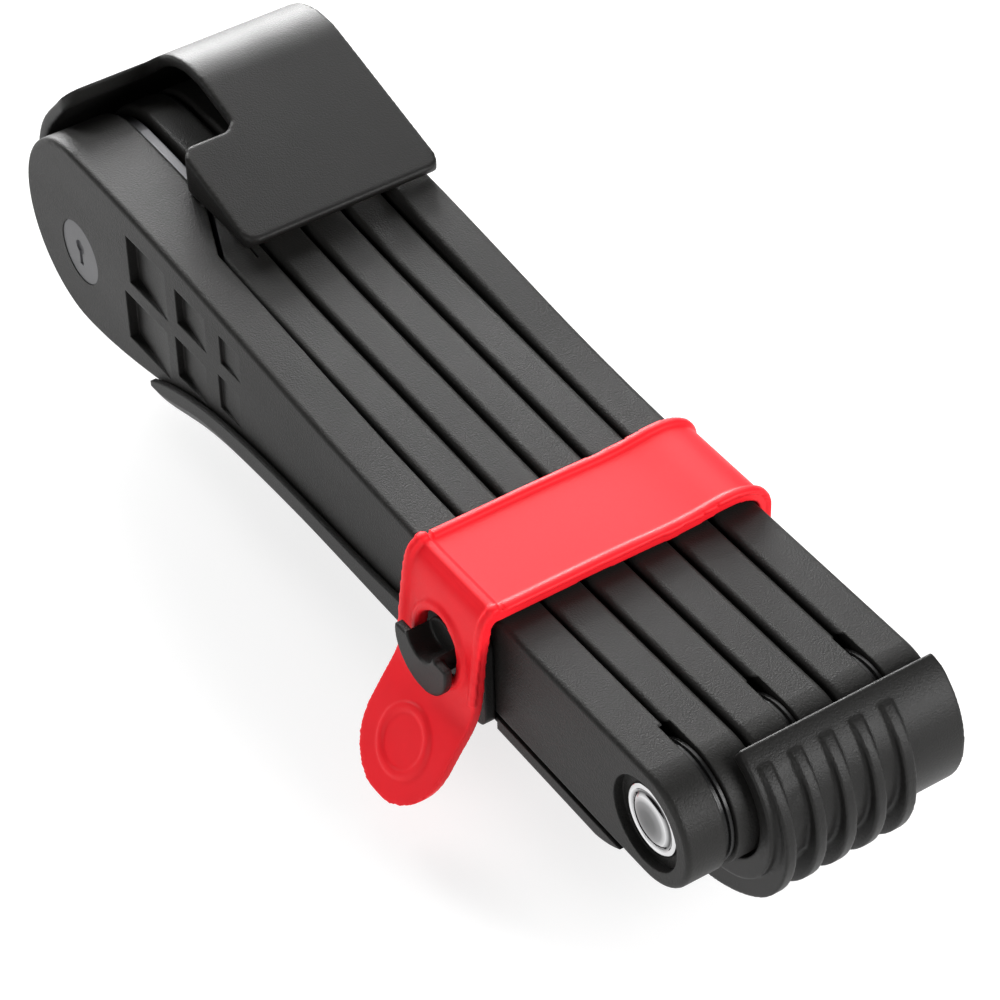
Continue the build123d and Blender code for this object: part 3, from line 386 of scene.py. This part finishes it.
for v in strap_mesh.vertices:
    out = Vector((0.0, v.co.y, v.co.z - AXIS.z))
    facing = v.normal.dot(out.normalized())
    lift = 0.0
    if facing > FACING and v.co.z > AXIS.z - BEAD_BELOW:
        off_centre = abs(v.co.x - STRAP_MID)
        lift = BEAD_H * step(off_centre, STRAP_HALF - BEAD_W, STRAP_HALF - BEAD_W / 2)
    if v.normal.y < -FACING and v.co.y < LEFT_FACE:
        reach = math.hypot(v.co.x - STRAP_MID, (v.co.z - TAB_LOW.z - BOSS_UP) * TAB_SLANT)
        lift += BOSS_H * (1 - step(reach, BOSS_R - BOSS_EDGE, BOSS_R))
        inner = BOSS_R - BOSS_RING
        lift -= BOSS_H * BOSS_SINK * (1 - step(reach, inner - BOSS_EDGE, inner))
    moves.append(v.normal * lift)
for v, move in zip(strap_mesh.vertices, moves):
    v.co += move
strap = new_piece("strap", strap_mesh, "strap_silicone", None)
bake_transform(strap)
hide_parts("strap_band", "strap_tab")

# the carrier's other mouldings: CAD node, piece, voxel size and rounds of relaxing
MOULDINGS = (
    ("hood", "hood_moulding", 0.4 * MM, 7),
    ("heel_cup", "heel_cup_moulding", 0.28 * MM, 3),
    ("strap_stud", "stud_moulding", 0.2 * MM, 4),
)
for node, name, voxel, rounds in MOULDINGS:
    piece = new_piece(name, moulded(name, [node], voxel, rounds), "carrier", "carrier")
    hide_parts(node)


def turned(name, centre, profile, slot, body, outward=-1.0, steps=96):
    """A lathe-turned piece round the Y axis through centre; profile is (radius, height) outward."""
    shape = bmesh.new()
    rings = []
    for radius, height in profile:
        if radius == 0.0:
            rings.append([shape.verts.new(centre + Vector((0, outward * height, 0)))])
            continue
        rings.append([
            shape.verts.new(centre + Vector((
                radius * math.cos(2 * math.pi * i / steps), outward * height,
                radius * math.sin(2 * math.pi * i / steps),
            ))) for i in range(steps)
        ])
    for a, b in zip(rings, rings[1:]):
        for i in range(steps):
            j = (i + 1) % steps
            corners = [a[i % len(a)], a[j % len(a)], b[j % len(b)], b[i % len(b)]]
            shape.faces.new(list(dict.fromkeys(corners)))
    bmesh.ops.recalc_face_normals(shape, faces=shape.faces)
    mesh = bpy.data.meshes.new(name)
    shape.to_mesh(mesh)
    shape.free()
    mesh.polygons.foreach_set("use_smooth", [True] * len(mesh.polygons))
    return new_piece(name, mesh, slot, body)


CAP_SEAT = {"left": CAP_HIGH.y, "right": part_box("rivet_cap_right")[0].y}
CAP_PROFILE = (
    (0.0, 0.0), (CAP_R * 0.98, 0.0), (CAP_R, 0.1 * MM), (CAP_R, 0.5 * MM), (CAP_R * 0.97, 0.72 * MM),
    (CAP_R * 0.90, 0.8 * MM), (CAP_R * 0.84, 0.72 * MM), (CAP_R * 0.81, 0.5 * MM),
    (CAP_R * 0.78, 0.48 * MM), (CAP_R * 0.74, 0.7 * MM), (CAP_R * 0.68, 0.98 * MM),
    (CAP_R * 0.56, 1.24 * MM), (CAP_R * 0.40, 1.43 * MM), (CAP_R * 0.22, 1.55 * MM), (0.0, 1.6 * MM),
)
for side, body, outward in (("left", "link_1", -1.0), ("right", "link_6", 1.0)):
    centre = Vector((AXIS.x, CAP_SEAT[side], AXIS.z))
    cap = turned(f"rivet_dome_{side}", centre, CAP_PROFILE, "cap_chrome", body, outward)
    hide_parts(f"rivet_cap_{side}")

# the spring over the locking bolt, drawn as a coil
SPRING_LOW, SPRING_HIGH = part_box("bolt_spring")
WIRE_R, COILS, COIL_STEPS, WIRE_STEPS = 0.28 * MM, 6, 32, 10


def coil(name, low, high, wire, turns):
    """A closed coil spring's mesh, filling a box."""
    centre = (low + high) / 2
    radius = (high.x - low.x) / 2 - wire
    shape = bmesh.new()
    rings = []
    for i in range(turns * COIL_STEPS + 1):
        a = 2 * math.pi * i / COIL_STEPS
        rise = low.z + wire + (high.z - low.z - 2 * wire) * i / (turns * COIL_STEPS)
        out = Vector((math.cos(a), math.sin(a), 0.0))
        middle = Vector((centre.x, centre.y, rise)) + out * radius
        rings.append([
            shape.verts.new(middle + out * (wire * math.cos(b)) + Vector((0, 0, wire * math.sin(b))))
            for b in (2 * math.pi * k / WIRE_STEPS for k in range(WIRE_STEPS))
        ])
    for a, b in zip(rings, rings[1:]):
        for k in range(WIRE_STEPS):
            j = (k + 1) % WIRE_STEPS
            shape.faces.new([a[k], a[j], b[j], b[k]])
    shape.faces.new(rings[0])
    shape.faces.new(list(reversed(rings[-1])))
    bmesh.ops.recalc_face_normals(shape, faces=shape.faces)
    mesh = bpy.data.meshes.new(name)
    shape.to_mesh(mesh)
    shape.free()
    mesh.polygons.foreach_set("use_smooth", [True] * len(mesh.polygons))
    return mesh


spring = new_piece(
    "spring_coil", coil("spring_coil", SPRING_LOW, SPRING_HIGH, WIRE_R, COILS), "rivet_steel", "link_1",
)
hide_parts("bolt_spring")
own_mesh(spring)

# ---- floor and light ----
FLOOR_HALF = 6.0
FLOOR_GAP = 0.2 * MM
FLOOR_ALBEDO, FLOOR_GLOW = 0.34, 0.78
SKY_TOP, SKY_LOW, SKY_HIGH = 0.8, 0.42, 0.72   # height where the sky is strongest; its strengths
floor_mesh = bpy.data.meshes.new("floor")
floor_mesh.from_pydata(
    [(-FLOOR_HALF, -FLOOR_HALF, 0), (FLOOR_HALF, -FLOOR_HALF, 0), (FLOOR_HALF, FLOOR_HALF, 0),
     (-FLOOR_HALF, FLOOR_HALF, 0)], [], [(0, 1, 2, 3)],
)
floor = bpy.data.objects.new("floor", floor_mesh)
floor.location.z = CAD_BOX[0].z - FLOOR_GAP
bpy.context.collection.objects.link(floor)
floor_finish = Nodes("pale floor")
floor_finish.set(Base_Color=(FLOOR_ALBEDO, FLOOR_ALBEDO, FLOOR_ALBEDO, 1), Roughness=0.9)
floor_finish.shader.inputs["Specular IOR Level"].default_value = 0.0
floor_finish.shader.inputs["Emission Color"].default_value = (1.0, 1.0, 1.0, 1.0)
floor_finish.shader.inputs["Emission Strength"].default_value = FLOOR_GLOW
floor.data.materials.append(floor_finish.material)

world = bpy.data.worlds.new("studio")
world.use_nodes = True
sky = world.node_tree
height = sky.nodes.new("ShaderNodeSeparateXYZ")
sky.links.new(sky.nodes.new("ShaderNodeTexCoord").outputs["Generated"], height.inputs[0])
fade = sky.nodes.new("ShaderNodeMapRange")
sky.links.new(height.outputs["Z"], fade.inputs["Value"])
fade.inputs["From Min"].default_value, fade.inputs["From Max"].default_value = 0.0, SKY_TOP
fade.inputs["To Min"].default_value, fade.inputs["To Max"].default_value = SKY_LOW, SKY_HIGH
sky.links.new(fade.outputs[0], sky.nodes["Background"].inputs["Strength"])
bpy.context.scene.world = world
bpy.context.scene.view_settings.view_transform = "Standard"


def softbox(name, place, aim, size, power):
    """A square area light."""
    data = bpy.data.lights.new(name, "AREA")
    data.shape, data.size, data.energy = "SQUARE", size, power
    light = bpy.data.objects.new(name, data)
    light.location = place
    light.rotation_mode = "QUATERNION"
    light.rotation_quaternion = (Vector(aim) - Vector(place)).to_track_quat("-Z", "Y")
    bpy.context.collection.objects.link(light)


softbox("back", (-0.75, 0.6, 0.95), (0.0, 0.0, 0.0), 0.9, 9.5)
softbox("low rim", (-1.15, 0.45, 0.38), (-0.08, 0.0, 0.04), 0.55, 24.0)
softbox("right", (1.0, 0.55, 0.6), (0.08, 0.0, 0.02), 0.6, 16.0)
softbox("front", (0.45, -1.1, 0.55), (0.02, -0.02, 0.03), 0.7, 6.0)
softbox("left", (-1.2, -0.12, 0.8), (-0.09, -0.02, 0.05), 0.4, 9.0)
